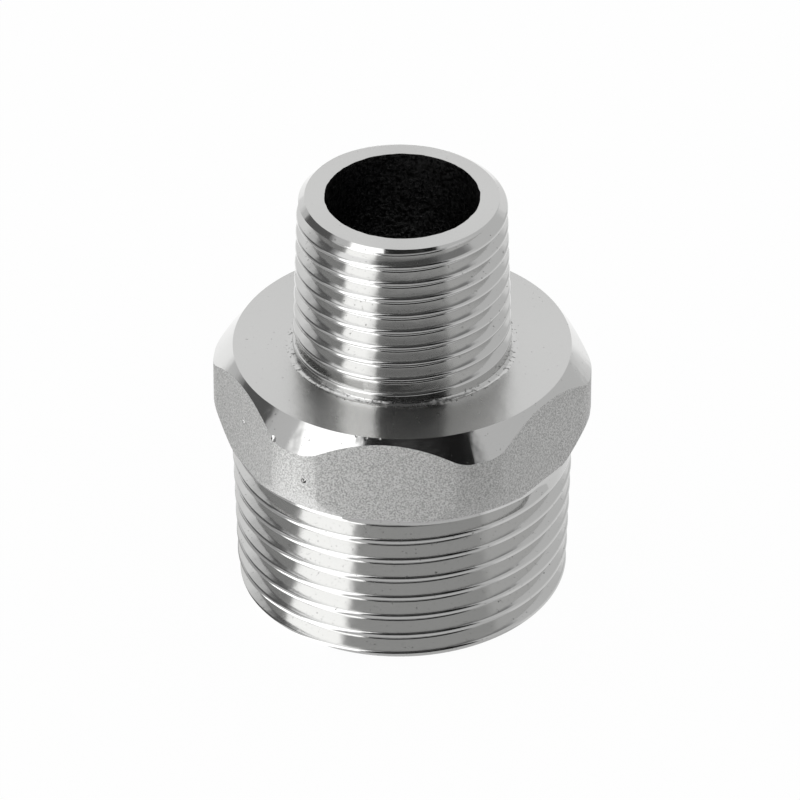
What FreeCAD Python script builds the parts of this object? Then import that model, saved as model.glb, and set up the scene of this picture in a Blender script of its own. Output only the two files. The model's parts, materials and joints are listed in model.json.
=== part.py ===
"""Hex reducing nipple: a one-piece stainless fitting with two tapered male pipe threads.

The large thread is at the bottom and the small one at the top. Between them is a hexagonal
collar for a wrench, and a stepped waterway runs through all three. The origin is the centre
of the large end's face, and +Z is the axis, towards the small end. Two of the hexagon's
corners lie on the X axis. All sizes are in millimetres and all angles in degrees.

A threaded end is the tapered blank that its thread is cut in: the surface is the crest's.
"""
import FreeCAD, Part
import math
import os

from FreeCAD import Base

# Lengths along the axis
LARGE_THREAD_LENGTH = 17.2
COLLAR_HEIGHT = 9.8
SMALL_THREAD_LENGTH = 17.1

# Wrench collar: its corners are turned to a diameter, chamfered above and tapered below
ACROSS_FLATS = 34.0
SHOULDER_DIAMETER = 33.2
SHOULDER_CHAMFER_WIDTH = 2.0
SHOULDER_CHAMFER_ANGLE = 51.7
UNDERSIDE_DIAMETER = 35.0
UNDERSIDE_TAPER_HEIGHT = 3.0
HEX_SIDES = 6

# Pipe threads: the gauge diameter is the crest's, at the gauge length from the free end
LARGE_GAUGE_DIAMETER = 33.249
LARGE_GAUGE_LENGTH = 10.39
SMALL_GAUGE_DIAMETER = 20.955
SMALL_GAUGE_LENGTH = 8.16
THREAD_TAPER = 1 / 16

# Chamfered ends, and the fillet where the small end meets the shoulder
LARGE_FACE_DIAMETER = 30.8
SMALL_FACE_DIAMETER = 18.94
END_CHAMFER_ANGLE = 45.0
SMALL_BASE_FILLET = 0.6

# Waterway: the large bore runs from the large end to a cone that narrows to the small bore
SMALL_BORE_DIAMETER = 15.1
LARGE_BORE_DIAMETER = 26.0
LARGE_BORE_DEPTH = 18.5
BORE_CONE_ANGLE = 45.0

OVERALL_LENGTH = LARGE_THREAD_LENGTH + COLLAR_HEIGHT + SMALL_THREAD_LENGTH
SHOULDER_HEIGHT = LARGE_THREAD_LENGTH + COLLAR_HEIGHT
ACROSS_CORNERS = SHOULDER_DIAMETER + 2 * SHOULDER_CHAMFER_WIDTH


def tangent(angle):
    """The tangent of an angle in degrees."""
    return math.tan(math.radians(angle))


def turned(outline):
    """A solid of revolution from a closed outline of (radius, height) points."""
    points = [Base.Vector(radius, 0, height) for radius, height in outline]
    face = Part.Face(Part.makePolygon(points + points[:1]))
    return face.revolve(Base.Vector(0, 0, 0), Base.Vector(0, 0, 1), 360)


def crest_radius(gauge_diameter, gauge_length, distance):
    """The thread's outer radius at a distance from its free end."""
    return gauge_diameter / 2 + (distance - gauge_length) * THREAD_TAPER / 2


def threaded_end(gauge_diameter, gauge_length, face_diameter, length):
    """Half the section of a threaded end, as (radius, distance from the free end) points."""
    face = face_diameter / 2
    end_crest = crest_radius(gauge_diameter, gauge_length, 0)
    chamfer = (end_crest - face) / (1 / tangent(END_CHAMFER_ANGLE) - THREAD_TAPER / 2)
    return [
        (0, 0),
        (face, 0),
        (crest_radius(gauge_diameter, gauge_length, chamfer), chamfer),
        (crest_radius(gauge_diameter, gauge_length, length), length),
        (0, length),
    ]


def large_end():
    """The threaded end below the collar, with its face on the origin's plane."""
    return turned(threaded_end(LARGE_GAUGE_DIAMETER, LARGE_GAUGE_LENGTH,
                               LARGE_FACE_DIAMETER, LARGE_THREAD_LENGTH))


def small_end():
    """The threaded end above the collar."""
    outline = threaded_end(SMALL_GAUGE_DIAMETER, SMALL_GAUGE_LENGTH,
                           SMALL_FACE_DIAMETER, SMALL_THREAD_LENGTH)
    return turned([(radius, OVERALL_LENGTH - distance) for radius, distance in outline])


def collar():
    """The hexagon, with its corners cut by a cylinder, a chamfer above and a taper below."""
    corner = ACROSS_FLATS / 2 / math.cos(math.pi / HEX_SIDES)
    angles = [2 * math.pi * side / HEX_SIDES for side in range(HEX_SIDES + 1)]
    corners = [Base.Vector(corner * math.cos(angle), corner * math.sin(angle), LARGE_THREAD_LENGTH)
               for angle in angles]
    prism = Part.Face(Part.makePolygon(corners)).extrude(Base.Vector(0, 0, COLLAR_HEIGHT))

    reach = ACROSS_CORNERS / 2
    chamfer_drop = SHOULDER_CHAMFER_WIDTH * tangent(SHOULDER_CHAMFER_ANGLE)
    envelope = turned([
        (0, LARGE_THREAD_LENGTH),
        (UNDERSIDE_DIAMETER / 2, LARGE_THREAD_LENGTH),
        (reach, LARGE_THREAD_LENGTH + UNDERSIDE_TAPER_HEIGHT),
        (reach, SHOULDER_HEIGHT - chamfer_drop),
        (SHOULDER_DIAMETER / 2, SHOULDER_HEIGHT),
        (0, SHOULDER_HEIGHT),
    ])
    return prism.common(envelope)


def waterway():
    """The hole through the fitting: the large bore, a cone and the small bore."""
    large = LARGE_BORE_DIAMETER / 2
    small = SMALL_BORE_DIAMETER / 2
    cone_top = LARGE_BORE_DEPTH + (large - small) * tangent(BORE_CONE_ANGLE)
    return turned([(0, 0), (large, 0), (large, LARGE_BORE_DEPTH), (small, cone_top),
                   (small, OVERALL_LENGTH), (0, OVERALL_LENGTH)])


def base_edge(body):
    """The circle where the small end meets the shoulder."""
    radius = crest_radius(SMALL_GAUGE_DIAMETER, SMALL_GAUGE_LENGTH, SMALL_THREAD_LENGTH)
    corner = Part.Vertex(radius, 0, SHOULDER_HEIGHT)
    return min(body.Edges, key=lambda edge: edge.distToShape(corner)[0])


nipple_body = collar().fuse([large_end(), small_end()]).removeSplitter()
nipple_body = nipple_body.makeFillet(SMALL_BASE_FILLET, [base_edge(nipple_body)])
nipple_body = nipple_body.cut(waterway())

os.makedirs("parts", exist_ok=True)
nipple_body.exportStep("parts/nipple_body.step")
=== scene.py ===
"""Looks of a hex reducing nipple: its cut threads, turned and cast skins, and a pale studio.

The fitting stands on its large end with its axis on Z, where the frame has it. Lengths are in
metres, and MM turns millimetres into metres.
"""
import json
import math

import bpy
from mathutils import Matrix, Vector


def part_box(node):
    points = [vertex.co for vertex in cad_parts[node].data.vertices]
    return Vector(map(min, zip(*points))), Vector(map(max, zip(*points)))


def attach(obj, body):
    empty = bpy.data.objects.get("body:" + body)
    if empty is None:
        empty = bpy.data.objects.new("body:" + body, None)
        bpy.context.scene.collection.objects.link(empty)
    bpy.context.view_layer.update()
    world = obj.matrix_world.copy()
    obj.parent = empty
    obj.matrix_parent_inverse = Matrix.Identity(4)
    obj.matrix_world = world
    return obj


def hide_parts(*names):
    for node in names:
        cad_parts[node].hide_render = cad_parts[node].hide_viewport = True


bl_info = {
    "name": "Hex reducing nipple",
    "version": (1, 0, 0),
    "blender": (4, 5, 0),
    "location": "3D View > Sidebar > Nipple",
    "description": "Models a threaded reducing nipple in stainless steel, with its studio",
    "category": "Object",
}

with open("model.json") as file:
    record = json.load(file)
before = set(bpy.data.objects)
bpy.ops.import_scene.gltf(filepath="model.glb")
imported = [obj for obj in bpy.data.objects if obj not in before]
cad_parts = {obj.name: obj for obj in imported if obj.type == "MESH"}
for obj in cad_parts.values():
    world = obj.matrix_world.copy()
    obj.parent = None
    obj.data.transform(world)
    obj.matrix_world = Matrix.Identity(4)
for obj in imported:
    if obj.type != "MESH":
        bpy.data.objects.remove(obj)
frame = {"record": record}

MM = 0.001
UP = (0, 0, 1)
ORIGIN = (0, 0, 0)
TURN = 2 * math.pi
WELD = 0.001 * MM
OVERLAP = 0.4 * MM
NODE = "nipple_body"
RUNOUT = "runout"
SIDES = 6

# Sizes that the frame gives
LOW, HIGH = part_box(NODE)
HEIGHT = HIGH.z
REACH = HIGH.x
ACROSS_FLATS = HIGH.y - LOW.y
DIMS = {mount["name"]: mount["dims"] for mount in frame["record"]["mounts"]}
LARGE_END = DIMS["large_thread"]["length_mm"] * MM
SHOULDER = HEIGHT - DIMS["small_thread"]["length_mm"] * MM
LARGE_BORE = DIMS["large_bore"]["r_mm"] * MM
LARGE_BORE_DEPTH = DIMS["large_bore"]["length_mm"] * MM
SMALL_BORE = DIMS["small_bore"]["r_mm"] * MM
SMALL_BORE_DEPTH = DIMS["small_bore"]["length_mm"] * MM

# A rounded 55 degree pipe thread, as shares of its pitch, and its taper in radius. Wear has
# left its crests rounder than its roots. The depth is what the roundings leave of a sharp V.
FLANK = math.radians(27.5)
ROOT_ROUNDING = 0.13
CREST_ROUNDING = 0.16
THREAD_DEPTH = (1 / math.tan(FLANK) / 2
                - (ROOT_ROUNDING + CREST_ROUNDING) * (1 / math.sin(FLANK) - 1))
TAPER = 1 / 32

# Segments of the arcs at a crest, a root, the neck's fillet and a softened corner
CREST_ARC = 5
ROOT_ARC = 6
FILLET_ARC = 10
CORNER_ARC = 8
# Facets round a thread's blank and round the neck, for each facet of a thread
BLANK_FACETS = 8
NECK_FACETS = 4
# The waterway's wall is divided about this often along the axis
WALL_STEP = 0.4 * MM
# Modelled roughness: the width of its lumps, and how far they move the surface in all
NECK_LUMPS = (0.5 * MM, 0.045 * MM)
WALL_LUMPS = (0.7 * MM, 0.16 * MM)
# A face is level where the Z part of its normal is larger than this
LEVEL = 0.9
# Faces that meet at a smaller angle than this are shaded as one surface
SMOOTH_ANGLE = math.radians(35)

# The white tent round the fitting, as its metal sees it. Each part of it has its azimuths and
# elevations in degrees, and its brightness, and covers the parts before it where they meet.
# Azimuth 0 is the camera's side. Where there is no part, the tent's wall shows.
OPENING = (-28, 49)
TENT = (
    ("backdrop, left", (-181, -135), (-90, 70), 1.15),
    ("backdrop, right", (140, 181), (-90, 70), 1.15),
    ("softbox", (-69, -28), (-90, 58), 2.3),
    ("paper at the left", (-112, -66), (-90, 5), 0.45),
    ("high softbox", (-120, -62), (54, 72), 1.5),
    ("seam of the tent", (-126, -90), (8, 52), 0.15),
    ("paper before the camera", OPENING, (-90, 7), 0.6),
    ("opening for the camera", OPENING, (7, 73), 0.015),
    ("ceiling lamp", (-28, 30), (44, 53), 0.25),
    ("upper right wall", (46, 122), (56, 75), 0.3),
    ("roof vent", (-181, 181), (73, 91), 0.1),
)
TENT_WALL = 0.82
TENT_SOFTNESS = 3
# The painted shadow on the paper before the fitting, which only reflections see: its distances
# from the axis, how softly it ends, in metres and in degrees, and its brightness
SHADE = (70 * MM, 140 * MM)
SHADE_EDGE = 20 * MM
SHADE_SOFTNESS = 14
SHADE_BRIGHTNESS = 0.28
# The paper's colour, its width in metres and the share of plain white in what the camera sees
# of it. The rest is lit paper, which keeps the fitting's shadow.
PAPER = "#f2f2f2"
PAPER_WIDTH = 4
PAPER_WHITE = 0.97

# Marks of wear on the collar, each the bite of a ball: the azimuth of its centre in degrees, its
# distance from the axis, its height and its radius
DENTS = {
    "pit on the left front corner": (-115.6, 18.45 * MM, 21.64 * MM, 0.3 * MM),
    "nick in the chamfer's edge": (-127.6, 18.52 * MM, 24.9 * MM, 0.45 * MM),
    "tail of the nick": (-126.6, 18.4 * MM, 25.15 * MM, 0.25 * MM),
    "chip in the shoulder's edge": (-100.0, 16.65 * MM, 27.0 * MM, 0.16 * MM),
    "second chip": (-96.5, 16.7 * MM, 26.95 * MM, 0.2 * MM),
    "third chip": (-92.0, 16.65 * MM, 27.0 * MM, 0.14 * MM),
    "pit on the left flat": (-150.0, 17.05 * MM, 22.4 * MM, 0.25 * MM),
}

# The finishes of the fitting, by the name that its solids use
FINISHES = {}
BRIGHT = "#d0d0cf"
# The two inputs and the output of a Mix node that mixes colours
FIRST, SECOND, MIXED = 6, 7, 2


def length(name, description, default):
    """A property that holds a length."""
    return bpy.props.FloatProperty(name=name, description=description, default=default,
                                   unit="LENGTH", precision=5)


class NippleThreads(bpy.types.PropertyGroup):
    """The two tapered pipe threads."""
    large_pitch: length("Large pitch", "Distance between crests at the large end", 2.309 * MM)
    large_gauge: length("Large gauge radius", "Crest radius at the gauge plane", 16.6245 * MM)
    large_plane: length("Large gauge plane", "Height of the gauge plane", 10.39 * MM)
    large_crest: length("Large crest height", "Where a crest crosses the XZ plane", 15.413 * MM)
    large_whole: length("Large groove whole", "Groove height where it starts to fade", 16.29 * MM)
    large_gone: length("Large groove gone", "Groove height where it has faded out", 16.46 * MM)
    large_face: length("Large face radius", "Outer radius of the large end's face", 15.4 * MM)
    small_pitch: length("Small pitch", "Distance between crests at the small end", 1.814 * MM)
    small_gauge: length("Small gauge radius", "Crest radius at the gauge plane", 10.4775 * MM)
    small_plane: length("Small gauge plane", "Height of the gauge plane", HEIGHT - 8.16 * MM)
    small_crest: length("Small crest height", "Where a crest crosses the XZ plane", 39.206 * MM)
    small_whole: length("Small groove whole", "Groove height where it starts to fade", 28.5 * MM)
    small_gone: length("Small groove gone", "Groove height where it has faded out", 28.15 * MM)
    small_face: length("Small face radius", "Outer radius of the small end's face", 9.47 * MM)
    steps: bpy.props.IntProperty(name="Steps", description="Facets in one turn", default=144)


class NippleCollar(bpy.types.PropertyGroup):
    """The hexagonal collar and the neck above it."""
    shoulder: length("Shoulder radius", "Radius where the chamfer starts", 16.6 * MM)
    chamfer_drop: length("Chamfer drop", "Height that the chamfer takes off a corner", 2.532 * MM)
    underside: length("Underside radius", "Radius of the collar's lower edge", 17.2 * MM)
    underside_rise: length("Underside rise", "Height of the taper under a corner", 3.0 * MM)
    corner_cut: length("Corner cut", "Width taken off a flat at each corner", 2.15 * MM)
    corner_round: length("Corner rounding", "Softening where a flat meets a corner", 1.1 * MM)
    rim_rise: length("Rim rise", "How much higher the bright rim is at the front", 0.52 * MM)
    rim_turn: bpy.props.FloatProperty(name="Rim turn", description="Azimuth of its high side",
                                      default=math.radians(-79.6), subtype="ANGLE")
    neck: length("Neck radius", "Radius above the fillet", 10.45 * MM)
    fillet: length("Fillet reach", "How far the fillet runs out on the shoulder", 0.95 * MM)
    fillet_rise: length("Fillet rise", "How far the fillet climbs the neck", 1.1 * MM)


class NippleStudio(bpy.types.PropertyGroup):
    """The camera and the lights."""
    lens: bpy.props.FloatProperty(name="Lens", description="Focal length", default=337.5,
                                  unit="CAMERA")
    distance: length("Distance", "From the camera to the point it looks at", 0.738)
    aim: length("Aim height", "Height of the point it looks at", 20.16 * MM)
    aside: length("Aim aside", "How far left of the axis it looks", 0.216 * MM)
    azimuth: bpy.props.FloatProperty(name="Azimuth", description="Turn of the camera about Z",
                                     default=math.radians(5.41), subtype="ANGLE")
    elevation: bpy.props.FloatProperty(name="Elevation", description="Angle above the floor",
                                       default=math.radians(34.53), subtype="ANGLE")


def deselect():
    """Leaves nothing selected."""
    bpy.ops.object.select_all(action="DESELECT")


def make_active(obj):
    """Selects one object alone."""
    deselect()
    obj.select_set(True)
    bpy.context.view_layer.objects.active = obj


def applied(obj, kind, **settings):
    """Adds a modifier with its settings and applies it."""
    make_active(obj)
    modifier = obj.modifiers.new(kind.lower(), kind)
    for name, value in settings.items():
        setattr(modifier, name, value)
    bpy.ops.object.modifier_apply(modifier=modifier.name)


def drawn_line(name, outline):
    """A chain of edges in the XZ plane through (radius, height) points, drawn by extruding."""
    deselect()
    radius, height = outline[0]
    bpy.ops.mesh.primitive_plane_add(size=MM, location=(radius, 0, height))
    obj = bpy.context.object
    obj.name = name
    bpy.ops.object.transform_apply(location=True, rotation=True, scale=True)
    bpy.ops.object.mode_set(mode="EDIT")
    bpy.ops.mesh.select_mode(type="VERT")
    bpy.ops.mesh.select_all(action="SELECT")
    bpy.ops.mesh.merge(type="CENTER")
    for (r0, z0), (r1, z1) in zip(outline, outline[1:]):
        move = {"value": (r1 - r0, 0, z1 - z0)}
        bpy.ops.mesh.extrude_region_move(TRANSFORM_OT_translate=move)
    bpy.ops.object.mode_set(mode="OBJECT")
    return obj


def weld(obj):
    """Merges doubled vertices and turns every face outwards."""
    make_active(obj)
    bpy.ops.object.mode_set(mode="EDIT")
    bpy.ops.mesh.select_all(action="SELECT")
    bpy.ops.mesh.remove_doubles(threshold=WELD)
    bpy.ops.mesh.normals_make_consistent(inside=False)
    bpy.ops.object.mode_set(mode="OBJECT")


def turned(name, outline, steps):
    """A closed solid spun about Z from an outline that starts and ends on the axis."""
    obj = drawn_line(name, outline)
    make_active(obj)
    bpy.ops.object.mode_set(mode="EDIT")
    bpy.ops.mesh.select_all(action="SELECT")
    bpy.ops.mesh.spin(steps=steps, angle=TURN, center=ORIGIN, axis=UP)
    bpy.ops.object.mode_set(mode="OBJECT")
    weld(obj)
    return obj


def combined(target, tool, operation):
    """Cuts, joins or intersects a solid with another, which is used up."""
    applied(target, "BOOLEAN", object=tool, operation=operation, solver="MANIFOLD")
    bpy.data.objects.remove(tool)


def painted(obj, finish, chosen=None):
    """Gives a finish to the chosen faces, or to every face. chosen takes a face.

    Every solid has the same finishes in the same order, so they stay right when solids join.
    """
    if not obj.data.materials:
        for material in FINISHES.values():
            obj.data.materials.append(material)
    slot = list(FINISHES).index(finish)
    for face in obj.data.polygons:
        if chosen is None or chosen(face):
            face.material_index = slot


def roughened(obj, name, width, depth):
    """Moves a surface in and out in lumps of a width, by a depth in all."""
    pattern = bpy.data.textures.new(name, "CLOUDS")
    pattern.noise_scale = width
    pattern.noise_depth = 4
    applied(obj, "DISPLACE", texture=pattern, strength=depth, mid_level=0.5,
            texture_coords="LOCAL")


def arc(centre, radius, start, end, segments):
    """Points on an arc about a (radius, height) centre, from one angle to another."""
    angles = [start + (end - start) * i / segments for i in range(segments + 1)]
    return [(centre[0] + radius * math.cos(a), centre[1] + radius * math.sin(a)) for a in angles]


def thread_section(pitch, crest):
    """One pitch of a rounded 55 degree thread, from crest to crest, as (radius, height) points."""
    crest_round = CREST_ROUNDING * pitch
    root_round = ROOT_ROUNDING * pitch
    root = crest - THREAD_DEPTH * pitch
    normal = math.pi / 2 - FLANK
    upper = arc((crest - crest_round, 0), crest_round, 0, normal, CREST_ARC)
    valley = arc((root + root_round, pitch / 2), root_round, math.pi + normal, math.pi - normal,
                 ROOT_ARC)
    lower = arc((crest - crest_round, pitch), crest_round, -normal, 0, CREST_ARC)
    return upper + valley + lower


def threaded_rod(name, pitch, gauge, plane, crest_at_x, span, growth, runout):
    """A tapered threaded rod about Z, cut square at both ends of its span.

    The crest radius is gauge at the plane's height and changes by growth for each metre up. A
    crest crosses the XZ plane at crest_at_x. The groove is whole at the first height of runout
    and gone at the second.
    """
    steps = bpy.context.scene.nipple_threads.steps
    low, high = span
    below = math.ceil((crest_at_x - low) / pitch) + 1
    start = crest_at_x - below * pitch
    turns = math.ceil((high - start) / pitch) + 1
    section = [(radius, start - plane + height)
               for radius, height in thread_section(pitch, gauge)]
    rod = drawn_line(name, section)
    applied(rod, "SCREW", angle=TURN * turns, screw_offset=pitch * turns, iterations=1,
            steps=steps * turns, render_steps=steps * turns)

    fading = rod.vertex_groups.new(name=RUNOUT)
    for row in range(steps * turns + 1):
        groove = start + pitch * (0.5 + row / steps)
        share = min(max((groove - runout[0]) / (runout[1] - runout[0]), 0), 1)
        points = range(row * len(section), (row + 1) * len(section))
        fading.add(list(points), share * share * (3 - 2 * share), "REPLACE")

    applied(rod, "SIMPLE_DEFORM", deform_method="TAPER", deform_axis="Z",
            factor=growth / gauge * rod.dimensions.z)
    rod.location.z = plane
    make_active(rod)
    bpy.ops.object.transform_apply(location=True)

    middle = (low + high) / 2
    margin = 2 * (high - low)
    deselect()
    bpy.ops.mesh.primitive_cone_add(
        vertices=BLANK_FACETS * steps, depth=2 * margin, location=(0, 0, middle),
        radius1=gauge + growth * (middle - margin - plane),
        radius2=gauge + growth * (middle + margin - plane))
    blank = bpy.context.object
    applied(rod, "SHRINKWRAP", target=blank, vertex_group=RUNOUT)
    bpy.data.objects.remove(blank)
    weld(rod)

    bpy.ops.object.mode_set(mode="EDIT")
    for height, outwards in ((low, -1), (high, 1)):
        bpy.ops.mesh.select_all(action="SELECT")
        bpy.ops.mesh.bisect(plane_co=(0, 0, height), plane_no=(0, 0, outwards), use_fill=True,
                            clear_outer=True, threshold=WELD)
    bpy.ops.object.mode_set(mode="OBJECT")
    weld(rod)
    return rod


def end_blank(name, face_radius, face_height, inwards):
    """A plug with a chamfered end, which a threaded rod is trimmed to."""
    deep = face_height + inwards * HEIGHT / 2
    outline = [(0, face_height), (face_radius, face_height),
               (REACH, face_height + inwards * (REACH - face_radius)), (REACH, deep), (0, deep)]
    return turned(name, outline, bpy.context.scene.nipple_threads.steps)


def large_end():
    """The threaded end below the collar."""
    sizes = bpy.context.scene.nipple_threads
    rod = threaded_rod("large_end", sizes.large_pitch, sizes.large_gauge, sizes.large_plane,
                       sizes.large_crest, (-OVERLAP, LARGE_END + OVERLAP), TAPER,
                       (sizes.large_whole, sizes.large_gone))
    painted(rod, "thread")
    blank = end_blank("large_blank", sizes.large_face, 0, 1)
    painted(blank, "turned")
    painted(blank, "faced", lambda face: abs(face.normal.z) > LEVEL)
    combined(rod, blank, "INTERSECT")
    return rod


def small_end():
    """The threaded end above the collar."""
    sizes = bpy.context.scene.nipple_threads
    rod = threaded_rod("small_end", sizes.small_pitch, sizes.small_gauge, sizes.small_plane,
                       sizes.small_crest, (SHOULDER - OVERLAP, HEIGHT + OVERLAP), -TAPER,
                       (sizes.small_whole, sizes.small_gone))
    painted(rod, "thread")
    blank = end_blank("small_blank", sizes.small_face, HEIGHT, -1)
    painted(blank, "turned")
    painted(blank, "faced", lambda face: abs(face.normal.z) > LEVEL)
    combined(rod, blank, "INTERSECT")
    return rod


def neck():
    """The rough fillet between the small end and the shoulder."""
    sizes = bpy.context.scene.nipple_collar
    foot = sizes.neck + sizes.fillet
    angles = [math.pi / 2 * i / FILLET_ARC for i in range(FILLET_ARC + 1)]
    curve = [(foot - sizes.fillet * math.sin(a), SHOULDER + sizes.fillet_rise * (1 - math.cos(a)))
             for a in angles]
    outline = [(0, SHOULDER - OVERLAP), (foot, SHOULDER - OVERLAP)] + curve
    outline += [(0, SHOULDER + sizes.fillet_rise)]
    solid = turned("neck", outline, NECK_FACETS * bpy.context.scene.nipple_threads.steps)
    roughened(solid, "torn metal", *NECK_LUMPS)
    painted(solid, "torn")
    return solid


def bevel_upright(obj, offset, segments):
    """Bevels the upright edges of a prism."""
    make_active(obj)
    bpy.ops.object.mode_set(mode="EDIT")
    bpy.ops.mesh.select_mode(type="EDGE")
    bpy.ops.mesh.select_all(action="DESELECT")
    bpy.ops.object.mode_set(mode="OBJECT")
    points = [vertex.co for vertex in obj.data.vertices]
    for edge in obj.data.edges:
        low, high = [points[i] for i in edge.vertices]
        edge.select = abs(low.z - high.z) > WELD
    bpy.ops.object.mode_set(mode="EDIT")
    bpy.ops.mesh.bevel(offset=offset, segments=segments, affect="EDGES")
    bpy.ops.object.mode_set(mode="OBJECT")


def collar():
    """The hexagon, with cut and softened corners, trimmed to a turned outline."""
    sizes = bpy.context.scene.nipple_collar
    corner = ACROSS_FLATS / 2 / math.cos(math.pi / SIDES)
    deselect()
    bpy.ops.mesh.primitive_cylinder_add(
        vertices=SIDES, radius=corner, depth=SHOULDER - LARGE_END,
        location=(0, 0, (SHOULDER + LARGE_END) / 2), rotation=(0, 0, math.pi / SIDES))
    hexagon = bpy.context.object
    hexagon.name = "collar"
    bpy.ops.object.transform_apply(location=True, rotation=True, scale=True)
    bevel_upright(hexagon, sizes.corner_cut, segments=1)
    bevel_upright(hexagon, sizes.corner_round, segments=CORNER_ARC)
    painted(hexagon, "cast")

    margin = 1 * MM
    slope = sizes.chamfer_drop / (REACH - sizes.shoulder)
    envelope = turned("envelope", [
        (0, LARGE_END - margin), (sizes.underside - margin / 2, LARGE_END - margin),
        (sizes.underside, LARGE_END), (REACH, LARGE_END + sizes.underside_rise),
        (REACH, SHOULDER - sizes.chamfer_drop),
        (sizes.shoulder - margin / slope, SHOULDER + margin), (0, SHOULDER + margin),
    ], bpy.context.scene.nipple_threads.steps)
    painted(envelope, "cast")
    painted(envelope, "turned", lambda face: face.center.z > (LARGE_END + SHOULDER) / 2)
    combined(hexagon, envelope, "INTERSECT")
    painted(hexagon, "faced", lambda face: face.normal.z > LEVEL)
    bright_rim(hexagon)
    dented(hexagon)
    return hexagon


def bright_rim(hexagon):
    """Paints the turned rim round the collar's lower edge, which is higher at the front."""
    sizes = bpy.context.scene.nipple_collar
    slant = sizes.rim_rise / ACROSS_FLATS * 2
    lean = (slant * math.cos(sizes.rim_turn), slant * math.sin(sizes.rim_turn))
    make_active(hexagon)
    bpy.ops.object.mode_set(mode="EDIT")
    bpy.ops.mesh.select_all(action="SELECT")
    bpy.ops.mesh.bisect(plane_co=(0, 0, LARGE_END), plane_no=(-lean[0], -lean[1], 1))
    bpy.ops.object.mode_set(mode="OBJECT")

    def under_rim(face):
        return face.center.z < LARGE_END + face.center.x * lean[0] + face.center.y * lean[1]
    painted(hexagon, "turned", under_rim)


def dented(hexagon):
    """Takes the marks of wear out of the collar."""
    for name, (azimuth, away, height, radius) in DENTS.items():
        turn = math.radians(azimuth)
        deselect()
        bpy.ops.mesh.primitive_ico_sphere_add(
            subdivisions=3, radius=radius,
            location=(away * math.cos(turn), away * math.sin(turn), height))
        dent = bpy.context.object
        dent.name = name
        painted(dent, "torn")
        combined(hexagon, dent, "DIFFERENCE")


def waterway():
    """The stepped hole through the fitting, as a solid to cut with."""
    cone_top = HEIGHT - SMALL_BORE_DEPTH
    corners = [(LARGE_BORE, -OVERLAP), (LARGE_BORE, LARGE_BORE_DEPTH), (SMALL_BORE, cone_top),
               (SMALL_BORE, HEIGHT + OVERLAP)]
    wall = []
    for (r0, z0), (r1, z1) in zip(corners, corners[1:]):
        parts = round(math.hypot(r1 - r0, z1 - z0) / WALL_STEP)
        wall += [(r0 + (r1 - r0) * i / parts, z0 + (z1 - z0) * i / parts) for i in range(parts)]
    outline = [(0, -OVERLAP)] + wall + [corners[-1], (0, HEIGHT + OVERLAP)]
    solid = turned("waterway", outline, bpy.context.scene.nipple_threads.steps)
    roughened(solid, "casting grit", *WALL_LUMPS)
    painted(solid, "bore")
    return solid


def linear(code):
    """A colour given as an sRGB hex code, in linear light."""
    shares = [int(code[i:i + 2], 16) / 255 for i in (1, 3, 5)]
    return [c / 12.92 if c <= 0.04045 else ((c + 0.055) / 1.055) ** 2.4 for c in shares] + [1]


def add_node(tree, kind, inputs=None, **settings):
    """Adds a node with its settings. Each input is a value, or another node's output to link."""
    node = tree.nodes.new(kind)
    for name, value in settings.items():
        setattr(node, name, value)
    for socket, value in (inputs or {}).items():
        if isinstance(value, bpy.types.NodeSocket):
            tree.links.new(value, node.inputs[socket])
        else:
            node.inputs[socket].default_value = value
    return node


def new_material(name):
    """An empty material, and its node tree."""
    material = bpy.data.materials.new(name)
    material.use_nodes = True
    material.node_tree.nodes.clear()
    return material, material.node_tree


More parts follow.
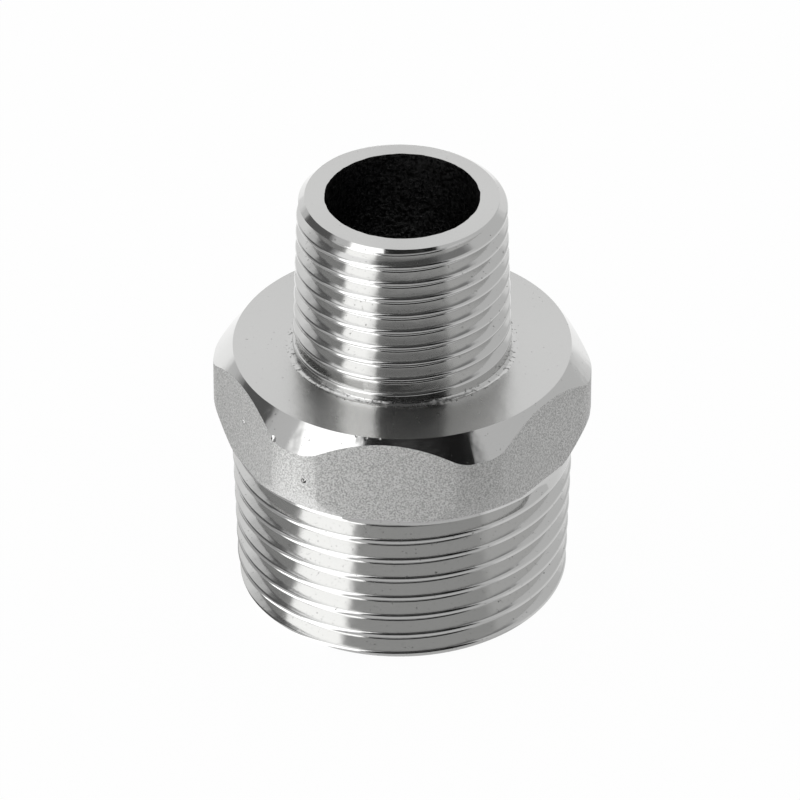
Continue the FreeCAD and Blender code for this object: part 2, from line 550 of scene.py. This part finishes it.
def turned_steel(name, colour, roughness, stretch, mark_width, mark_depth, torn_from):
    """Bright stainless steel with the fine rings that a lathe tool leaves about the axis.

    The rings blur a reflection across them and hardly along them, and slow waves in the surface
    bend its edges. Flecks where the metal tore are darker and rougher, and there are fewer of
    them the higher torn_from is.
    """
    wave_width, wave_depth = 2.5 * MM, 0.03 * MM
    fleck_width, fleck_edge = 0.35 * MM, 0.1
    torn_roughness, torn_colour = roughness + 0.25, "#8c8c8b"
    # A quarter turn, from along the rings to across them
    across_rings = 0.25
    material, tree = new_material(name)
    place = add_node(tree, "ShaderNodeTexCoord").outputs["Object"]
    split = add_node(tree, "ShaderNodeSeparateXYZ", {0: place})
    flat = add_node(tree, "ShaderNodeCombineXYZ", {0: split.outputs[0], 1: split.outputs[1]})
    radius = add_node(tree, "ShaderNodeVectorMath", {0: flat.outputs[0]}, operation="LENGTH")
    ring = add_node(tree, "ShaderNodeCombineXYZ",
                    {0: radius.outputs["Value"], 1: split.outputs[2]})
    marks = add_node(tree, "ShaderNodeTexNoise",
                     {"Vector": ring.outputs[0], "Scale": 1 / mark_width, "Detail": 2.0},
                     noise_dimensions="2D")
    rings = add_node(tree, "ShaderNodeBump",
                     {"Height": marks.outputs[0], "Distance": mark_depth, "Strength": 1.0})
    waves = add_node(tree, "ShaderNodeTexNoise",
                     {"Vector": place, "Scale": 1 / wave_width, "Detail": 2.0})
    bump = add_node(tree, "ShaderNodeBump",
                    {"Height": waves.outputs[0], "Distance": wave_depth, "Strength": 1.0,
                     "Normal": rings.outputs[0]})
    flecks = add_node(tree, "ShaderNodeTexNoise",
                      {"Vector": place, "Scale": 1 / fleck_width, "Detail": 3.0})
    torn = add_node(tree, "ShaderNodeMapRange",
                    {"Value": flecks.outputs[0], "From Min": torn_from,
                     "From Max": torn_from + fleck_edge})
    blur = add_node(tree, "ShaderNodeMapRange",
                    {"Value": torn.outputs[0], "To Min": roughness, "To Max": torn_roughness})
    tone = add_node(tree, "ShaderNodeMix",
                    {"Factor": torn.outputs[0], FIRST: linear(colour),
                     SECOND: linear(torn_colour)}, data_type="RGBA")
    tangent = add_node(tree, "ShaderNodeTangent", direction_type="RADIAL", axis="Z")
    steel = add_node(tree, "ShaderNodeBsdfPrincipled", {
        "Base Color": tone.outputs[MIXED], "Metallic": 1.0, "Roughness": blur.outputs[0],
        "Anisotropic": stretch, "Anisotropic Rotation": across_rings,
        "Tangent": tangent.outputs[0], "Normal": bump.outputs[0]})
    add_node(tree, "ShaderNodeOutputMaterial", {"Surface": steel.outputs[0]})
    return material


def grainy_steel(name, colour, hollow_shade_colour, roughness, grain, depth):
    """Stainless steel with an all-over grain, as blasting or a mould leaves it.

    Painted shade makes the grain's hollows dark, and its tops are pale, with a short fade between
    the two.
    """
    hollow, top = 0.35, 0.6
    material, tree = new_material(name)
    place = add_node(tree, "ShaderNodeTexCoord").outputs["Object"]
    pits = add_node(tree, "ShaderNodeTexNoise",
                    {"Vector": place, "Scale": 1 / grain, "Detail": 3.0})
    bump = add_node(tree, "ShaderNodeBump",
                    {"Height": pits.outputs[0], "Distance": depth, "Strength": 1.0})
    # Painted shade: the colour follows the grain's bump, dark in its hollows and pale on its tops
    hollow_shade = add_node(tree, "ShaderNodeMapRange",
                      {"Value": pits.outputs[0], "From Min": hollow, "From Max": top})
    tone = add_node(tree, "ShaderNodeMix",
                    {"Factor": hollow_shade.outputs[0], FIRST: linear(hollow_shade_colour), SECOND: linear(colour)},
                    data_type="RGBA")
    steel = add_node(tree, "ShaderNodeBsdfPrincipled", {
        "Base Color": tone.outputs[MIXED], "Metallic": 1.0, "Roughness": roughness,
        "Normal": bump.outputs[0]})
    add_node(tree, "ShaderNodeOutputMaterial", {"Surface": steel.outputs[0]})
    return material


def make_finishes():
    """The finishes of the fitting, by the name that its solids use.

    The real tool marks, specks and grain are finer than a picture of the whole fitting can show,
    so they are drawn coarser here.
    """
    # The flanks of a thread: bright, with reflections that break at each crest
    FINISHES["thread"] = turned_steel(
        "cut stainless steel thread", BRIGHT, roughness=0.12, stretch=0.5,
        mark_width=0.2 * MM, mark_depth=0.001 * MM, torn_from=0.66)
    # The chamfers and the rim: the clearest reflections, close to a mirror's
    FINISHES["turned"] = turned_steel(
        "turned stainless steel", BRIGHT, roughness=0.11, stretch=0.5,
        mark_width=0.15 * MM, mark_depth=0.001 * MM, torn_from=0.68)
    # The end faces and the shoulder: soft wedges of light that point at the axis
    FINISHES["faced"] = turned_steel(
        "faced stainless steel", BRIGHT, roughness=0.2, stretch=0.95,
        mark_width=0.3 * MM, mark_depth=0.001 * MM, torn_from=0.69)
    # The neck's fillet and the dents: broken reflections with dark specks
    FINISHES["torn"] = turned_steel(
        "torn stainless steel", BRIGHT, roughness=0.16, stretch=0.3,
        mark_width=0.2 * MM, mark_depth=0.004 * MM, torn_from=0.56)
    # The collar's flats and corners: a dull, even grey with a salt and pepper grain
    # The grain's hollows are painted shade
    FINISHES["cast"] = grainy_steel(
        "blasted cast steel", "#dadad9", "#adadac", roughness=0.72,
        grain=0.16 * MM, depth=0.03 * MM)
    # The waterway: painted shade over its mould skin, nearly black, with painted specks where some
    # light gets in
    FINISHES["bore"] = grainy_steel(
        "mould skin under painted shade in the bore", "#5c5c5c", "#161616", roughness=0.42,
        grain=0.35 * MM, depth=0.1 * MM)


class NIPPLE_OT_fitting(bpy.types.Operator):
    """Models the whole fitting from its collar, threaded ends, neck and waterway"""
    bl_idname = "nipple.fitting"
    bl_label = "Threaded fitting"

    def execute(self, context):
        make_finishes()
        fitting = collar()
        combined(fitting, large_end(), "UNION")
        combined(fitting, small_end(), "UNION")
        combined(fitting, neck(), "UNION")
        combined(fitting, waterway(), "DIFFERENCE")
        fitting.name = "threaded_fitting"
        make_active(fitting)
        bpy.ops.object.shade_smooth_by_angle(angle=SMOOTH_ANGLE)
        applied(fitting, "WEIGHTED_NORMAL", keep_sharp=True)
        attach(fitting, "root")
        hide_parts(NODE)
        return {"FINISHED"}


def between(tree, value, low, high, softness=TENT_SOFTNESS):
    """1 where a value is inside a range, and 0 outside, with soft edges."""
    edges = []
    for edge in (low, high):
        ramp = add_node(tree, "ShaderNodeMapRange",
                        {"Value": value, "From Min": edge - softness,
                         "From Max": edge + softness}, interpolation_type="SMOOTHSTEP")
        edges.append(ramp.outputs["Result"])
    inside = add_node(tree, "ShaderNodeMath", {0: edges[0], 1: edges[1]}, operation="SUBTRACT")
    return inside.outputs[0]


def heading(tree, direction):
    """The azimuth from the camera's side, and the elevation, of a direction in degrees."""
    studio = bpy.context.scene.nipple_studio
    faced = add_node(tree, "ShaderNodeVectorRotate",
                     {"Vector": direction, "Angle": -studio.azimuth}, rotation_type="Z_AXIS")
    unit = add_node(tree, "ShaderNodeVectorMath", {0: faced.outputs[0]}, operation="NORMALIZE")
    axes = add_node(tree, "ShaderNodeSeparateXYZ", {0: unit.outputs[0]})
    towards = add_node(tree, "ShaderNodeMath", {0: axes.outputs[1], 1: -1.0},
                       operation="MULTIPLY")
    turn = add_node(tree, "ShaderNodeMath", {0: axes.outputs[0], 1: towards.outputs[0]},
                    operation="ARCTAN2")
    rise = add_node(tree, "ShaderNodeMath", {0: axes.outputs[2]}, operation="ARCSINE")
    return [add_node(tree, "ShaderNodeMath", {0: angle.outputs[0]},
                     operation="DEGREES").outputs[0] for angle in (turn, rise)]


def patched(tree, light, brightness, *masks):
    """Puts another brightness over a light, where all the masks are 1."""
    share = masks[0]
    for mask in masks[1:]:
        both = add_node(tree, "ShaderNodeMath", {0: share, 1: mask}, operation="MULTIPLY")
        share = both.outputs[0]
    patch = add_node(tree, "ShaderNodeMix", {"Factor": share, "A": light, "B": brightness})
    return patch.outputs["Result"]


def tent(tree, direction):
    """The brightness of the tent in a direction, for rays that leave the fitting's metal."""
    azimuth, elevation = heading(tree, direction)
    light = TENT_WALL
    for name, azimuths, elevations, brightness in TENT:
        light = patched(tree, light, brightness, between(tree, azimuth, *azimuths),
                        between(tree, elevation, *elevations))
    return light


class NIPPLE_OT_studio(bpy.types.Operator):
    """Sets the floor, the tent of light and the camera"""
    bl_idname = "nipple.studio"
    bl_label = "Studio"

    def execute(self, context):
        paper_floor()
        tent_world()
        product_camera()
        context.scene.view_settings.view_transform = "Standard"
        return {"FINISHED"}


def ray_kinds(tree):
    """Two outputs: 1 for a ray that sees plain white, and 1 for a reflection's ray.

    The camera sees the background as plain white, by itself and through clear glass.
    """
    path = add_node(tree, "ShaderNodeLightPath")
    white = add_node(tree, "ShaderNodeMath", {0: path.outputs["Is Camera Ray"],
                                              1: path.outputs["Is Transmission Ray"]},
                     operation="MAXIMUM")
    return white.outputs[0], path.outputs["Is Glossy Ray"]


def paper_floor():
    """White paper that keeps the fitting's pale shadow. Metal sees the tent's light painted on it.
    """
    deselect()
    bpy.ops.mesh.primitive_plane_add(size=PAPER_WIDTH)
    floor = bpy.context.object
    floor.name = "floor"
    material, tree = new_material("white paper")
    white, glossy = ray_kinds(tree)
    paper = add_node(tree, "ShaderNodeBsdfDiffuse", {"Color": linear(PAPER)})
    glow = add_node(tree, "ShaderNodeEmission", {"Strength": 1.0})
    share = add_node(tree, "ShaderNodeMath", {0: white, 1: PAPER_WHITE}, operation="MULTIPLY")
    pale = add_node(tree, "ShaderNodeMixShader", {0: share.outputs[0], 1: paper.outputs[0],
                                                  2: glow.outputs[0]})
    # Painted light and shadow for reflections: the tent's glow, darker in a band before the fitting
    place = add_node(tree, "ShaderNodeTexCoord").outputs["Object"]
    away = add_node(tree, "ShaderNodeVectorMath", {0: place}, operation="LENGTH")
    painted_shadow = between(tree, away.outputs["Value"], *SHADE, softness=SHADE_EDGE)
    before = between(tree, heading(tree, place)[0], *OPENING, softness=SHADE_SOFTNESS)
    light = patched(tree, tent(tree, place), SHADE_BRIGHTNESS, painted_shadow, before)
    painted_paper_light = add_node(tree, "ShaderNodeEmission", {"Strength": light})
    surface = add_node(tree, "ShaderNodeMixShader", {0: glossy, 1: pale.outputs[0],
                                                     2: painted_paper_light.outputs[0]})
    add_node(tree, "ShaderNodeOutputMaterial", {"Surface": surface.outputs[0]})
    # The paper's painted light is too wide for it to help to aim rays at it
    material.cycles.emission_sampling = "NONE"
    floor.data.materials.append(material)


def tent_world():
    """White all round for the camera, and the tent of light for metal."""
    world = bpy.data.worlds.new("tent of light")
    bpy.context.scene.world = world
    # Only reflections see the tent, so it doesn't help to aim rays at its bright parts
    world.cycles.sampling_method = "NONE"
    world.use_nodes = True
    tree = world.node_tree
    tree.nodes.clear()
    glossy = ray_kinds(tree)[1]
    direction = add_node(tree, "ShaderNodeTexCoord").outputs["Generated"]
    strength = add_node(tree, "ShaderNodeMix", {"Factor": glossy, "A": 1.0,
                                                "B": tent(tree, direction)})
    background = add_node(tree, "ShaderNodeBackground",
                          {"Strength": strength.outputs["Result"]})
    add_node(tree, "ShaderNodeOutputWorld", {"Surface": background.outputs[0]})


def product_camera():
    """A long lens that looks down on the fitting from the front."""
    studio = bpy.context.scene.nipple_studio
    turn, rise = studio.azimuth, studio.elevation
    back = (math.sin(turn) * math.cos(rise), -math.cos(turn) * math.cos(rise), math.sin(rise))
    aim = (-studio.aside * math.cos(turn), -studio.aside * math.sin(turn), studio.aim)
    place = [a + studio.distance * b for a, b in zip(aim, back)]
    bpy.ops.object.camera_add(location=place, rotation=(math.pi / 2 - rise, 0, turn))
    camera = bpy.context.object
    camera.data.lens = studio.lens
    bpy.context.scene.camera = camera


class NIPPLE_PT_panel(bpy.types.Panel):
    """The sizes of the fitting and the steps that make it"""
    bl_label = "Hex reducing nipple"
    bl_space_type = "VIEW_3D"
    bl_region_type = "UI"
    bl_category = "Nipple"

    def draw(self, context):
        for name in GROUPS:
            box = self.layout.box()
            group = getattr(context.scene, name)
            for prop in type(group).__annotations__:
                box.prop(group, prop)
        for operator in OPERATORS:
            self.layout.operator(operator.bl_idname)


GROUPS = {"nipple_threads": NippleThreads, "nipple_collar": NippleCollar,
          "nipple_studio": NippleStudio}
OPERATORS = (NIPPLE_OT_fitting, NIPPLE_OT_studio)


def register():
    """Adds the classes, and the groups of sizes to the scene."""
    for cls in (*GROUPS.values(), *OPERATORS, NIPPLE_PT_panel):
        bpy.utils.register_class(cls)
    for name, group in GROUPS.items():
        setattr(bpy.types.Scene, name, bpy.props.PointerProperty(type=group))


def unregister():
    """Takes the groups and the classes out again."""
    for name in GROUPS:
        delattr(bpy.types.Scene, name)
    for cls in reversed((*GROUPS.values(), *OPERATORS, NIPPLE_PT_panel)):
        bpy.utils.unregister_class(cls)


def main():
    """Makes everything in order."""
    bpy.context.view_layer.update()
    register()
    bpy.ops.nipple.fitting()
    bpy.ops.nipple.studio()


if __name__ == "__main__":
    main()
